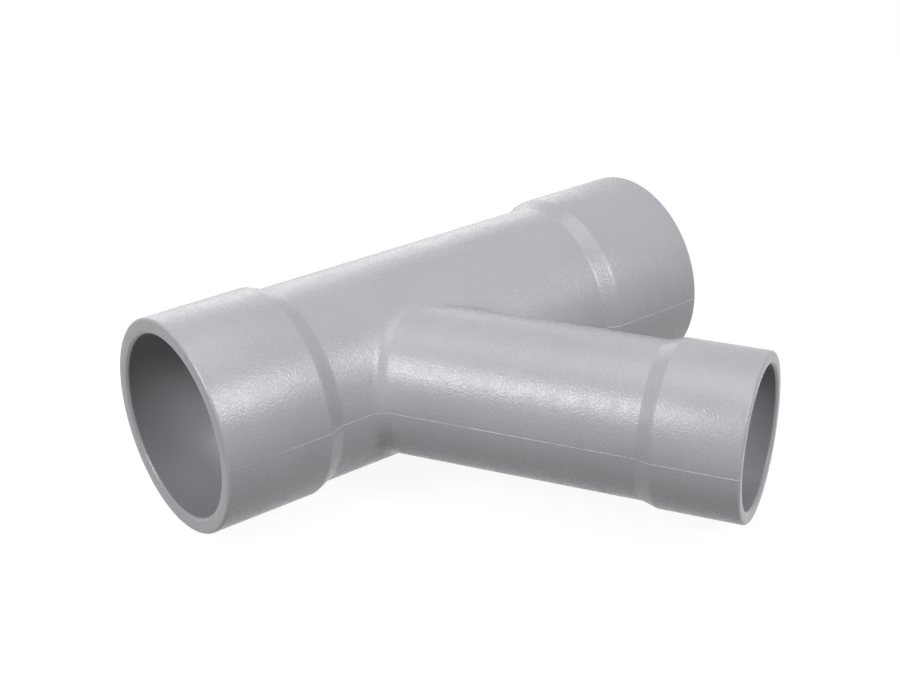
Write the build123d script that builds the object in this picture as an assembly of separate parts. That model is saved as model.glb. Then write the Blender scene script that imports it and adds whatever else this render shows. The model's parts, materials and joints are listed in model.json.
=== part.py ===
from build123d import *
import math
import os

# Lateral wye fitting: a straight run of two equal tube sockets with a smaller
# tube socket branching off its middle, moulded as one piece.
# Frame: the origin is the centre of the inlet's tube stop, where an entered
# tube ends. +X runs along the run to the outlet mouth, the branch leaves towards
# -Y and +X, and +Z is up. The plane Z = 0 holds both axes, and it is the plane
# in which the mould parts.
# All sizes are in millimetres.

# ---- driving dimensions -------------------------------------------------
BRANCH_ANGLE = 60.0          # between the branch axis and the run's outlet side

INLET_TO_CROSSING = 56.3     # inlet mouth to the crossing of the axes
CROSSING_TO_OUTLET = 107.4   # crossing of the axes to the outlet mouth
CROSSING_TO_BRANCH = 117.8   # crossing of the axes to the branch mouth

RUN_TUBE_OD = 50.8           # tube that enters the inlet and the outlet
BRANCH_TUBE_OD = 38.1        # tube that enters the branch
TUBE_WALL = 1.65             # wall of both tubes, and so the height of a tube stop
SOCKET_CLEARANCE = 0.1       # on the radius, round an entered tube

RUN_SOCKET_WALL = 4.5
RUN_SOCKET_DEPTH = 31.0      # mouth to tube stop
RUN_BODY_WALL = 4.4          # between the sockets
RUN_SHOULDER_LENGTH = 4.6    # cone from the socket down to the body
RUN_SHOULDER_ROUND = 3.0     # radius of both edges of that cone

BRANCH_SOCKET_WALL = 3.6
BRANCH_SOCKET_DEPTH = 23.0
BRANCH_BODY_WALL = 4.1
BRANCH_SHOULDER_LENGTH = 4.3
BRANCH_SHOULDER_ROUND = 3.0

RIM_BREAK = 0.5              # 45 degree break on the outer edge of each mouth
LEAD_IN = 0.7                # 45 degree chamfer on the inner edge of each mouth
ROOT_FILLET = 6.0            # soft fillet where the branch leaves the run
CUTTER_OVERRUN = 2.0         # how far a bore's cutter runs out past its mouth

# ---- sizes that follow --------------------------------------------------
run_bore_r = RUN_TUBE_OD / 2 + SOCKET_CLEARANCE
run_passage_r = RUN_TUBE_OD / 2 - TUBE_WALL
run_socket_r = run_bore_r + RUN_SOCKET_WALL
run_body_r = run_passage_r + RUN_BODY_WALL

branch_bore_r = BRANCH_TUBE_OD / 2 + SOCKET_CLEARANCE
branch_passage_r = BRANCH_TUBE_OD / 2 - TUBE_WALL
branch_socket_r = branch_bore_r + BRANCH_SOCKET_WALL
branch_body_r = branch_passage_r + BRANCH_BODY_WALL

along_run = Vector(1, 0, 0)
along_branch = Vector(math.cos(math.radians(BRANCH_ANGLE)), -math.sin(math.radians(BRANCH_ANGLE)), 0)
inlet_mouth = along_run * -RUN_SOCKET_DEPTH
crossing = inlet_mouth + along_run * INLET_TO_CROSSING
outlet_mouth = crossing + along_run * CROSSING_TO_OUTLET
branch_mouth = crossing + along_branch * CROSSING_TO_BRANCH


def turned(points, rounds):
    """Solid of revolution about X from (along, radius) points.

    rounds maps a point's place in the list to the radius of its corner.
    """
    outline = Face(Wire.make_polygon([(along, radius, 0) for along, radius in points]))
    for index, radius in rounds.items():
        along, height = points[index]
        corner = outline.vertices().sort_by_distance((along, height, 0))[0]
        outline = outline.fillet_2d(radius, [corner])
    return revolve(outline, Axis.X, 360)


def facing_in(mouth, outward):
    """Plane at a mouth with its local X pointing into the fitting."""
    return Plane(origin=mouth, x_dir=outward * -1, z_dir=(0, 0, 1))


def run_skin():
    """Outside of the run, filled: socket, cone, body, cone, socket."""
    length = INLET_TO_CROSSING + CROSSING_TO_OUTLET
    cone_start = RUN_SOCKET_DEPTH
    cone_end = cone_start + RUN_SHOULDER_LENGTH
    points = [
        (0, 0),
        (0, run_socket_r - RIM_BREAK),
        (RIM_BREAK, run_socket_r),
        (cone_start, run_socket_r),
        (cone_end, run_body_r),
        (length - cone_end, run_body_r),
        (length - cone_start, run_socket_r),
        (length - RIM_BREAK, run_socket_r),
        (length, run_socket_r - RIM_BREAK),
        (length, 0),
    ]
    cone_edges = (3, 4, 5, 6)
    skin = turned(points, {index: RUN_SHOULDER_ROUND for index in cone_edges})
    return facing_in(inlet_mouth, along_run * -1) * skin


def branch_skin():
    """Outside of the branch, filled, from its mouth back to the crossing of the axes."""
    cone_start = BRANCH_SOCKET_DEPTH
    cone_end = cone_start + BRANCH_SHOULDER_LENGTH
    points = [
        (0, 0),
        (0, branch_socket_r - RIM_BREAK),
        (RIM_BREAK, branch_socket_r),
        (cone_start, branch_socket_r),
        (cone_end, branch_body_r),
        (CROSSING_TO_BRANCH, branch_body_r),
        (CROSSING_TO_BRANCH, 0),
    ]
    cone_edges = (3, 4)
    skin = turned(points, {index: BRANCH_SHOULDER_ROUND for index in cone_edges})
    return facing_in(branch_mouth, along_branch) * skin


def socket_cutter(bore_r, depth):
    """A socket's bore with its lead-in, from a mouth at X = 0 inwards along +X."""
    points = [
        (-CUTTER_OVERRUN, 0),
        (-CUTTER_OVERRUN, bore_r + LEAD_IN),
        (0, bore_r + LEAD_IN),
        (LEAD_IN, bore_r),
        (depth, bore_r),
        (depth, 0),
    ]
    return turned(points, {})


def passage(radius, start, direction, length):
    """Filled cylinder from start along direction."""
    return Plane(origin=start, z_dir=direction) * Cylinder(
        radius, length, align=(Align.CENTER, Align.CENTER, Align.MIN)
    )


def hollow():
    """Everything that is open inside: three sockets and the two passages that join them."""
    run_socket = socket_cutter(run_bore_r, RUN_SOCKET_DEPTH)
    branch_socket = socket_cutter(branch_bore_r, BRANCH_SOCKET_DEPTH)
    space = passage(run_passage_r, inlet_mouth, along_run, INLET_TO_CROSSING + CROSSING_TO_OUTLET)
    space += passage(branch_passage_r, crossing, along_branch, CROSSING_TO_BRANCH)
    space += facing_in(inlet_mouth, along_run * -1) * run_socket
    space += facing_in(outlet_mouth, along_run) * run_socket
    space += facing_in(branch_mouth, along_branch) * branch_socket
    return space


def wye_body():
    """The whole fitting as one solid."""
    skin = run_skin() + branch_skin()
    root = [edge for edge in skin.edges() if edge.geom_type not in (GeomType.LINE, GeomType.CIRCLE)]
    skin = fillet(root, ROOT_FILLET)
    return skin - hollow()


os.makedirs("parts", exist_ok=True)
export_step(wye_body(), "parts/wye_body.step")
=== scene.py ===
import json
import math

import bmesh
import bpy
from mathutils import Matrix, Vector


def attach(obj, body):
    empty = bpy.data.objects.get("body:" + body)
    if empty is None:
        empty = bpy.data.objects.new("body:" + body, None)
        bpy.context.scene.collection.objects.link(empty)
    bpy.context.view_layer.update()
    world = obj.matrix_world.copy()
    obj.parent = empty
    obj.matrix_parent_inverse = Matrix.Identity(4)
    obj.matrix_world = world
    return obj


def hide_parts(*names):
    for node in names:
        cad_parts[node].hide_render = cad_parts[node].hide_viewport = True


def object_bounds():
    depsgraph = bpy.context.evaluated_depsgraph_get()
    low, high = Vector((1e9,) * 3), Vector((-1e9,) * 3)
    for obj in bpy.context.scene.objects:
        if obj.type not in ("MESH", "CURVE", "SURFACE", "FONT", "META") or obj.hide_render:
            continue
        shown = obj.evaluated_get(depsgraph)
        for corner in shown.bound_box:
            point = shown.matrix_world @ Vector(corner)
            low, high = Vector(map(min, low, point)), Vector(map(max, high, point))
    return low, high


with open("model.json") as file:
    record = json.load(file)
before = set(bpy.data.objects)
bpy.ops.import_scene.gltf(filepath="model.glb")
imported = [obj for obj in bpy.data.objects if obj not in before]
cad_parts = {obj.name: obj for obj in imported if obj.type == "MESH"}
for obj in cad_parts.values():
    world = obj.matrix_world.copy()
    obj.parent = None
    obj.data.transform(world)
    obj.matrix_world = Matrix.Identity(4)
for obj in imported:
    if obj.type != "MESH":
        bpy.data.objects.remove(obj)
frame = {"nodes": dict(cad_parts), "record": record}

# Looks for a one-piece wye fitting, moulded in grey plastic.
# The frame's origin is the centre of the inlet's tube stop, +X leads along the
# run to the outlet, the branch leaves towards -Y, and Z = 0 is the plane in
# which the mould parts.

CAD_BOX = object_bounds()
BODY = "root"
MM = 0.001

# ---- sizes read from the frame ----------------------------------------------
MOUNTS = {mount["name"]: mount for mount in frame["record"]["mounts"]}
BRANCH_AXIS = Vector(MOUNTS["branch_socket"]["axis"]).normalized()
BRANCH_STOP = Vector(MOUNTS["branch_socket"]["pos_m"])
CROSSING = BRANCH_STOP - BRANCH_AXIS * (BRANCH_STOP.y / BRANCH_AXIS.y)
RUN_BORE_R = MOUNTS["inlet_socket"]["dims"]["r_mm"] * MM
BRANCH_BORE_R = MOUNTS["branch_socket"]["dims"]["r_mm"] * MM
FLOOR_Z = CAD_BOX[0][2] - 0.1 * MM     # just clear of the sockets' undersides

# ---- the body's mesh --------------------------------------------------------
# The bores' finish has a smoother grain, and its darker grey is painted shade in the hollows.
OUTSIDE, RIM, BORE_SHADED = range(3)     # its finishes, in the order of its material slots
WELD = 0.001 * MM                  # points nearer than this become one
SHARP_ANGLE = math.radians(32)     # edges that stay crisp
RIM_ANGLE = math.radians(20)       # a mouth's edges turn by at least this
RIM_REACH = 1.2 * MM               # how deep they lie below the mouth's plane
RIM_LEVEL = 0.002 * MM             # how level each of them lies
RIM_EASE = 0.22 * MM               # how far each of them is eased back
RIM_FLAT = 0.05 * MM               # a rim's faces lie this near the mouth's plane
RIM_FACING = 0.9                   # and face along its axis, as a cosine
BORE_SKIN = 0.2 * MM               # faces this near a bore's wall belong to the bore

# ---- the parting line, a bead half sunk into the skin -----------------------
FLASH_RADIUS = 0.118 * MM
FLASH_STEP = 0.5 * MM              # spacing of its points along the path
FLASH_SIDES = 8                    # of its cross-section
FLASH_CLEAR = 1.2 * MM             # it stays this far outside each bore's wall
SECTION_SLACK = 1e-7
UNEVEN = {"Scale": 150.0, "Detail": 3.0, "Roughness": 0.6}
UNEVEN_SPAN, UNEVEN_SIZE = (0.35, 0.68), (0.25, 1.0)      # pattern to share of the radius
FADE_SPAN, FADE_SIZE = (-16 * MM, -9 * MM), (0.2, 1.0)    # place on the run to share of it

# ---- the plastic ------------------------------------------------------------
GRAIN_DEPTH = 0.065 * MM           # height of the mould grain on the outside
GRAIN = {"Scale": 2300.0, "Detail": 2.0, "Roughness": 0.6, "Distortion": 0.4}
WRINKLE = {"Scale": 1700.0, "Smoothness": 0.6}
WRINKLE_SHARE = 0.5                # its height beside the grain's
PATCHES = {"Scale": 260.0, "Detail": 3.0, "Roughness": 0.6}
DRIFT = {"Scale": 38.0, "Detail": 2.0, "Roughness": 0.5}
PATTERN_SPAN = (0.3, 0.7)          # where nearly all of a noise pattern's values lie
DARKEST, LIGHTEST = 0.413, 0.450   # greys between which the tone drifts
RED_TRACE, BLUE_TRACE = 0.002, 0.034
PLASTIC_IOR = 1.55
COLOUR_A, COLOUR_B, COLOUR_OUT = 6, 7, 2     # a Mix node's sockets for colours

# ---- the studio -------------------------------------------------------------
WHITE = (1, 1, 1, 1)
FILL = 0.07                        # the world's light on the fitting
FLOOR_SIDE = 12
FLOOR_PAPER, FLOOR_GLOW = 0.16, 0.92         # the floor that is seen
FLOOR_DULL = 0.12                            # the floor that lights the fitting
# direction from the crossing, distance, side and watts
SOFTBOXES = {
    "key": ((0.25, -0.78, 0.57), 1.2, 0.45, 6.9),
    "left": ((-0.79, -0.10, 0.59), 1.2, 0.45, 7.5),
    "top": ((0.0, 0.0, 1.0), 1.3, 0.9, 4.9),
    "back": ((0.35, 0.9, 0.22), 1.3, 0.9, 3.2),
}
LENS_MM, SENSOR_MM, CLIP_START = 63.23, 36.0, 0.02
CAMERA_FROM_CROSSING = Vector((-0.21376, -0.33887, 0.20242))
HEADING = math.radians(36.371)     # from +Y towards +X
PITCH = math.radians(-25.937)
ROLL = math.radians(-1.474)


# ---- node helpers -----------------------------------------------------------
def new_material(name):
    """Empty node material and its tree."""
    material = bpy.data.materials.new(name)
    material.use_nodes = True
    material.node_tree.nodes.clear()
    return material, material.node_tree


def node(tree, kind, settings=None, **inputs):
    """Adds a node, sets its properties and its named inputs, and returns it."""
    made = tree.nodes.new(kind)
    for key, value in (settings or {}).items():
        setattr(made, key, value)
    for key, value in inputs.items():
        made.inputs[key.replace("_", " ")].default_value = value
    return made


def stretched(tree, source, span, to_span):
    """Maps a value from one span to another and holds it inside the second."""
    scale = node(tree, "ShaderNodeMapRange", From_Min=span[0], From_Max=span[1],
                 To_Min=to_span[0], To_Max=to_span[1])
    tree.links.new(source, scale.inputs["Value"])
    return scale.outputs["Result"]


# ---- body -------------------------------------------------------------------
def in_a_bore(point, skin):
    """True for a point inside the run's bore or the branch's, or less than skin outside it."""
    reach = point - CROSSING
    along = reach.dot(BRANCH_AXIS)
    from_run = math.hypot(point.y, point.z)
    from_branch = (reach - BRANCH_AXIS * along).length
    return from_run < RUN_BORE_R + skin or (along > 0 and from_branch < BRANCH_BORE_R + skin)


def mouth_planes(form):
    """Centre and outward direction of each of the three mouths."""
    reach = max((vert.co - CROSSING).dot(BRANCH_AXIS) for vert in form.verts)
    return [(Vector((CAD_BOX[0][0], 0, 0)), Vector((-1, 0, 0))),
            (Vector((CAD_BOX[1][0], 0, 0)), Vector((1, 0, 0))),
            (CROSSING + BRANCH_AXIS * reach, BRANCH_AXIS)]


def finish_of(face, mouths):
    """Which of the three finishes a face has."""
    centre = face.calc_center_median()
    # A bore's faces get the finish whose darker grey is painted shade.
    if in_a_bore(centre, BORE_SKIN):
        return BORE_SHADED
    for point, outward in mouths:
        off_plane = abs((centre - point).dot(outward))
        if off_plane < RIM_FLAT and face.normal.dot(outward) > RIM_FACING:
            return RIM
    return OUTSIDE


def rim_edges(form, mouths):
    """The sharp rings at the three mouths, where flat face, edge break and lead-in meet."""
    rings = []
    for edge in form.edges:
        first, second = (vert.co for vert in edge.verts)
        if len(edge.link_faces) != 2 or edge.calc_face_angle(0.0) < RIM_ANGLE:
            continue
        for centre, outward in mouths:
            depths = [(centre - point).dot(outward) for point in (first, second)]
            if max(depths) < RIM_REACH and abs(depths[0] - depths[1]) < RIM_LEVEL:
                rings.append(edge)
                break
    return rings


def merged_copy(cad_object, name):
    """Copy of a CAD node, its loose triangles joined, its rims eased and its faces smooth."""
    mesh = cad_object.data.copy()
    mesh.name = name
    mesh.materials.clear()
    piece = bpy.data.objects.new(name, mesh)
    bpy.context.scene.collection.objects.link(piece)
    form = bmesh.new()
    form.from_mesh(mesh)
    bmesh.ops.remove_doubles(form, verts=form.verts, dist=WELD)
    bmesh.ops.dissolve_degenerate(form, edges=form.edges, dist=WELD)
    mouths = mouth_planes(form)
    bmesh.ops.bevel(form, geom=rim_edges(form, mouths), offset=RIM_EASE, segments=3,
                    profile=0.5, affect="EDGES", clamp_overlap=True)
    form.normal_update()
    for face in form.faces:
        face.material_index = finish_of(face, mouths)
    form.to_mesh(mesh)
    form.free()
    mesh.shade_smooth()
    mesh.set_sharp_from_angle(angle=SHARP_ANGLE)
    return piece


# ---- parting line -----------------------------------------------------------
def outside_section(body_mesh):
    """The two ends of each edge where the plane of both axes cuts the body's outside."""
    form = bmesh.new()
    form.from_mesh(body_mesh)
    cut = bmesh.ops.bisect_plane(form, geom=form.verts[:] + form.edges[:] + form.faces[:],
                                 plane_co=(0, 0, 0), plane_no=(0, 0, 1), dist=SECTION_SLACK)
    kept = []
    for edge in cut["geom_cut"]:
        if not isinstance(edge, bmesh.types.BMEdge):
            continue
        if not any(in_a_bore(vert.co, FLASH_CLEAR) for vert in edge.verts):
            kept.append([vert.co.copy() for vert in edge.verts])
    form.free()
    return kept


def flash_tree(material):
    """Geometry nodes: a fine uneven bead along the given edges, faintest at the inlet."""
    tree = bpy.data.node_groups.new("parting_flash", "GeometryNodeTree")
    sockets = tree.interface
    sockets.new_socket("Geometry", in_out="INPUT", socket_type="NodeSocketGeometry")
    for label in ("Radius", "Step"):
        sockets.new_socket(label, in_out="INPUT", socket_type="NodeSocketFloat")
    sockets.new_socket("Geometry", in_out="OUTPUT", socket_type="NodeSocketGeometry")
    entry = node(tree, "NodeGroupInput")
    leave = node(tree, "NodeGroupOutput")
    link = tree.links.new

    # share of the full radius at each point
    place = node(tree, "GeometryNodeInputPosition")
    noise = node(tree, "ShaderNodeTexNoise", {"noise_dimensions": "3D"}, **UNEVEN)
    axes = node(tree, "ShaderNodeSeparateXYZ")
    share = node(tree, "ShaderNodeMath", {"operation": "MULTIPLY"})
    link(place.outputs["Position"], noise.inputs["Vector"])
    link(place.outputs["Position"], axes.inputs["Vector"])
    link(stretched(tree, noise.outputs["Fac"], UNEVEN_SPAN, UNEVEN_SIZE), share.inputs[0])
    link(stretched(tree, axes.outputs["X"], FADE_SPAN, FADE_SIZE), share.inputs[1])

    # ring swept along the path
    path = node(tree, "GeometryNodeMeshToCurve")
    spaced = node(tree, "GeometryNodeResampleCurve", {"mode": "LENGTH"})
    ring = node(tree, "GeometryNodeCurvePrimitiveCircle", {"mode": "RADIUS"},
                Resolution=FLASH_SIDES)
    tube = node(tree, "GeometryNodeCurveToMesh", Fill_Caps=True)
    smooth = node(tree, "GeometryNodeSetShadeSmooth")
    real = node(tree, "GeometryNodeRealizeInstances")
    finish = node(tree, "GeometryNodeSetMaterial", Material=material)
    link(entry.outputs["Geometry"], path.inputs["Mesh"])
    link(path.outputs["Curve"], spaced.inputs["Curve"])
    link(entry.outputs["Step"], spaced.inputs["Length"])
    link(spaced.outputs["Curve"], tube.inputs["Curve"])
    link(entry.outputs["Radius"], ring.inputs["Radius"])
    link(ring.outputs["Curve"], tube.inputs["Profile Curve"])
    link(share.outputs[0], tube.inputs["Scale"])
    link(tube.outputs["Mesh"], smooth.inputs["Geometry"])
    link(smooth.outputs["Geometry"], real.inputs["Geometry"])
    link(real.outputs["Geometry"], finish.inputs["Geometry"])
    link(finish.outputs["Geometry"], leave.inputs["Geometry"])
    return tree


def plain_mesh(carrier, name):
    """The evaluated result of carrier's modifiers as a new plain object."""
    depsgraph = bpy.context.evaluated_depsgraph_get()
    evaluated = carrier.evaluated_get(depsgraph)
    mesh = bpy.data.meshes.new_from_object(evaluated, depsgraph=depsgraph)
    mesh.name = name
    piece = bpy.data.objects.new(name, mesh)
    bpy.context.scene.collection.objects.link(piece)
    bpy.data.objects.remove(carrier)
    return piece


def parting_flash(body_mesh, material):
    """The bead left where the two mould halves met."""
    form = bmesh.new()
    for start, end in outside_section(body_mesh):
        form.edges.new((form.verts.new(start), form.verts.new(end)))
    bmesh.ops.remove_doubles(form, verts=form.verts, dist=2 * WELD)
    path = bpy.data.meshes.new("flash_path")
    form.to_mesh(path)
    form.free()
    carrier = bpy.data.objects.new("flash_path", path)
    bpy.context.scene.collection.objects.link(carrier)
    tree = flash_tree(material)
    modifier = carrier.modifiers.new("flash", "NODES")
    modifier.node_group = tree
    values = {"Radius": FLASH_RADIUS, "Step": FLASH_STEP}
    for item in tree.interface.items_tree:
        if item.item_type == "SOCKET" and item.in_out == "INPUT" and item.name in values:
            modifier[item.identifier] = values[item.name]
    return plain_mesh(carrier, "parting_flash")


# ---- finish -----------------------------------------------------------------
def grey_moulded_plastic(name, lift, depth, dullness):
    """Grey plastic with a fine leathery mould grain and a soft, slightly patchy shine.

    lift is its lightness beside the outside's: above 1 on the parting flash, where the lighter
    grey is a painted highlight, and below 1 in the bores, where the darker grey is painted
    shade.
    depth is the grain's height, and dullness is the lowest and highest roughness of the
    patches.
    """
    material, tree = new_material(name)
    link = tree.links.new
    coords = node(tree, "ShaderNodeTexCoord")
    grain = node(tree, "ShaderNodeTexNoise", **GRAIN)
    wrinkle = node(tree, "ShaderNodeTexVoronoi", {"feature": "SMOOTH_F1"}, **WRINKLE)
    patches = node(tree, "ShaderNodeTexNoise", **PATCHES)
    drift = node(tree, "ShaderNodeTexNoise", **DRIFT)
    for pattern in (grain, wrinkle, patches, drift):
        link(coords.outputs["Object"], pattern.inputs["Vector"])

    tone = node(tree, "ShaderNodeMix", {"data_type": "RGBA"})
    # lift scales the grey: below 1 it is painted shade in the bores, above 1 a painted
    # highlight on the flash.
    for socket, grey in ((COLOUR_A, DARKEST), (COLOUR_B, LIGHTEST)):
        red, green = grey * lift + RED_TRACE, grey * lift
        blue = grey * lift + BLUE_TRACE * lift
        tone.inputs[socket].default_value = (red, green, blue, 1.0)
    link(stretched(tree, drift.outputs["Fac"], PATTERN_SPAN, (0.0, 1.0)), tone.inputs[0])

    relief = node(tree, "ShaderNodeMath", {"operation": "MULTIPLY_ADD"})
    relief.inputs[1].default_value = WRINKLE_SHARE
    link(wrinkle.outputs["Distance"], relief.inputs[0])
    link(grain.outputs["Fac"], relief.inputs[2])
    bump = node(tree, "ShaderNodeBump", Strength=1.0, Distance=depth)
    link(relief.outputs[0], bump.inputs["Height"])

    shader = node(tree, "ShaderNodeBsdfPrincipled", IOR=PLASTIC_IOR)
    output = node(tree, "ShaderNodeOutputMaterial")
    dull = stretched(tree, patches.outputs["Fac"], PATTERN_SPAN, dullness)
    link(tone.outputs[COLOUR_OUT], shader.inputs["Base Color"])
    link(dull, shader.inputs["Roughness"])
    link(bump.outputs["Normal"], shader.inputs["Normal"])
    link(shader.outputs["BSDF"], output.inputs["Surface"])
    return material


# ---- surroundings -----------------------------------------------------------
def even_grey(level):
    """A colour with the same red, green and blue."""
    return (level, level, level, 1)


def seen_by_eye(tree):
    """1 where a ray comes straight from the camera, a mirror or clear glass."""
    rays = node(tree, "ShaderNodeLightPath")
    eye_or_gloss = node(tree, "ShaderNodeMath", {"operation": "MAXIMUM"})
    any_of_three = node(tree, "ShaderNodeMath", {"operation": "MAXIMUM"})
    tree.links.new(rays.outputs["Is Camera Ray"], eye_or_gloss.inputs[0])
    tree.links.new(rays.outputs["Is Glossy Ray"], eye_or_gloss.inputs[1])
    tree.links.new(eye_or_gloss.outputs[0], any_of_three.inputs[0])
    tree.links.new(rays.outputs["Is Transmission Ray"], any_of_three.inputs[1])
    return any_of_three.outputs[0]


def show_and_light(tree, shown, lighting, output_kind):
    """Sends one shader to the eye and its reflections, and the other to all other light."""
    choice = node(tree, "ShaderNodeMixShader")
    output = node(tree, output_kind)
    tree.links.new(seen_by_eye(tree), choice.inputs[0])
    tree.links.new(lighting.outputs[0], choice.inputs[1])
    tree.links.new(shown.outputs[0], choice.inputs[2])
    tree.links.new(choice.outputs[0], output.inputs["Surface"])


def studio_world():
    """White to the eye, a faint fill to the object."""
    world = bpy.data.worlds.new("studio")
    bpy.context.scene.world = world
    world.use_nodes = True
    tree = world.node_tree
    tree.nodes.clear()
    fill = node(tree, "ShaderNodeBackground", Color=WHITE, Strength=FILL)
    shown = node(tree, "ShaderNodeBackground", Color=WHITE, Strength=1.0)
    show_and_light(tree, shown, fill, "ShaderNodeOutputWorld")


def floor():
    """Pale floor under the sockets. It shows white, and it keeps the fitting's shadow."""
    bpy.ops.mesh.primitive_plane_add(size=FLOOR_SIDE, location=(0, 0, FLOOR_Z))
    plane = bpy.context.object
    plane.name = "floor"
    material, tree = new_material("floor_paper")
    paper = node(tree, "ShaderNodeBsdfDiffuse", Color=even_grey(FLOOR_PAPER))
    glow = node(tree, "ShaderNodeEmission", Color=WHITE, Strength=FLOOR_GLOW)
    lit = node(tree, "ShaderNodeAddShader")
    dull = node(tree, "ShaderNodeBsdfDiffuse", Color=even_grey(FLOOR_DULL))
    tree.links.new(paper.outputs[0], lit.inputs[0])
    tree.links.new(glow.outputs[0], lit.inputs[1])
    show_and_light(tree, lit, dull, "ShaderNodeOutputMaterial")
    plane.data.materials.append(material)


def softbox(name, direction, distance, side, watts):
    """Square area lamp that faces the crossing of the axes."""
    lamp = bpy.data.lights.new(name, "AREA")
    lamp.shape = "SQUARE"
    lamp.size = side
    lamp.energy = watts
    holder = bpy.data.objects.new(name, lamp)
    bpy.context.scene.collection.objects.link(holder)
    toward = Vector(direction).normalized()
    holder.location = CROSSING + toward * distance
    holder.rotation_euler = toward.to_track_quat("Z", "Y").to_euler()


def camera():
    """Long lens, a little above the fitting, off the inlet's side of the branch."""
    lens = bpy.data.cameras.new("camera")
    lens.lens = LENS_MM
    lens.sensor_width = SENSOR_MM
    lens.clip_start = CLIP_START
    holder = bpy.data.objects.new("camera", lens)
    bpy.context.scene.collection.objects.link(holder)
    turn = (Matrix.Rotation(-HEADING, 4, "Z") @ Matrix.Rotation(math.pi / 2 + PITCH, 4, "X")
            @ Matrix.Rotation(ROLL, 4, "Z"))
    holder.matrix_world = Matrix.Translation(CROSSING + CAMERA_FROM_CROSSING) @ turn
    bpy.context.scene.camera = holder


# ---- put together -----------------------------------------------------------
grained = grey_moulded_plastic("grained_grey_plastic", lift=1.0,
                               depth=GRAIN_DEPTH, dullness=(0.20, 0.34))
trimmed = grey_moulded_plastic("trimmed_rim_plastic", lift=0.98,
                               depth=0.2 * GRAIN_DEPTH, dullness=(0.26, 0.34))
# The bores: a smoother grain, and the grey darkened to 0.74 of the outside's as painted shade.
bore_shaded = grey_moulded_plastic("smooth_bore_plastic_painted_shade", lift=0.74,
                             depth=0.1 * GRAIN_DEPTH, dullness=(0.34, 0.42))
# The parting flash: its grey lifted to 1.40 of the outside's, a painted highlight along the
# bead.
flash_highlight = grey_moulded_plastic("flash_plastic_painted_highlight", lift=1.40,
                            depth=0.3 * GRAIN_DEPTH, dullness=(0.25, 0.35))

body = merged_copy(frame["nodes"]["wye_body"], "wye_shell")
finishes = {OUTSIDE: grained, RIM: trimmed, BORE_SHADED: bore_shaded}
for index in sorted(finishes):
    body.data.materials.append(finishes[index])
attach(body, BODY)
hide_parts("wye_body")

# The bead's lighter grey is a painted highlight.
flash = parting_flash(body.data, flash_highlight)
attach(flash, BODY)

studio_world()
floor()
for name, (direction, distance, side, watts) in SOFTBOXES.items():
    softbox(name, direction, distance, side, watts)
camera()
bpy.context.scene.view_settings.view_transform = "Standard"
